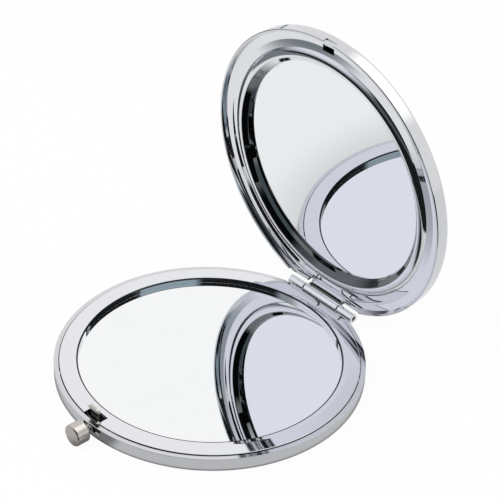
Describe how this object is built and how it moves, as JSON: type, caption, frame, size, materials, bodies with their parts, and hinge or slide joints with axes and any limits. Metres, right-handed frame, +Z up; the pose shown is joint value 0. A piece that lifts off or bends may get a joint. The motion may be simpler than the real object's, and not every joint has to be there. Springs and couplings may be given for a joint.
{
  "type": "compact mirror",
  "caption": "Round folding pocket mirror: chrome base and lid dishes on a barrel hinge, a mirror in each, and a spring push-button latch.",
  "frame": {"origin": "centre of the base's flat underside", "axes": "+Z up, X along the hinge, the hinge at +Y and the push button at -Y; the lid stands open"},
  "size_m": [0.07, 0.0782, 0.0734],
  "materials": {
    "shell_chrome": "polished",
    "ring_chrome": "polished",
    "hinge_chrome": "polished",
    "mirror_glass": "mirror",
    "pad": "matte",
    "steel": "satin",
    "nickel": "satin"
  },
  "bodies": {
    "base": {"base_shell": "shell_chrome", "base_ring": "ring_chrome", "base_mirror": "mirror_glass", "base_pad": "pad", "base_hinge_leaf": "hinge_chrome", "hinge_pin": "steel", "latch_guide": "steel", "latch_spring": "steel"},
    "lid": {"lid_shell": "shell_chrome", "lid_ring": "ring_chrome", "lid_bezel": "ring_chrome", "lid_mirror": "mirror_glass", "lid_hinge_leaf": "hinge_chrome"},
    "latch": {"latch_button": "nickel", "latch_stem": "steel", "latch_hook": "steel"}
  },
  "joints": [
    {"name": "lid_hinge", "type": "hinge", "parent": "base", "child": "lid", "pos_m": [0, 0.035, 0.0034], "axis": [-1, 0, 0], "range_deg": [-85.7, 79.3]},
    {"name": "button_slide", "type": "slide", "parent": "base", "child": "latch", "axis": [0, 1, 0], "range_m": [0, 0.0008], "stiffness_N_per_m": 1000, "springref_m": -0.001, "deforming": ["latch_spring"]}
  ]
}
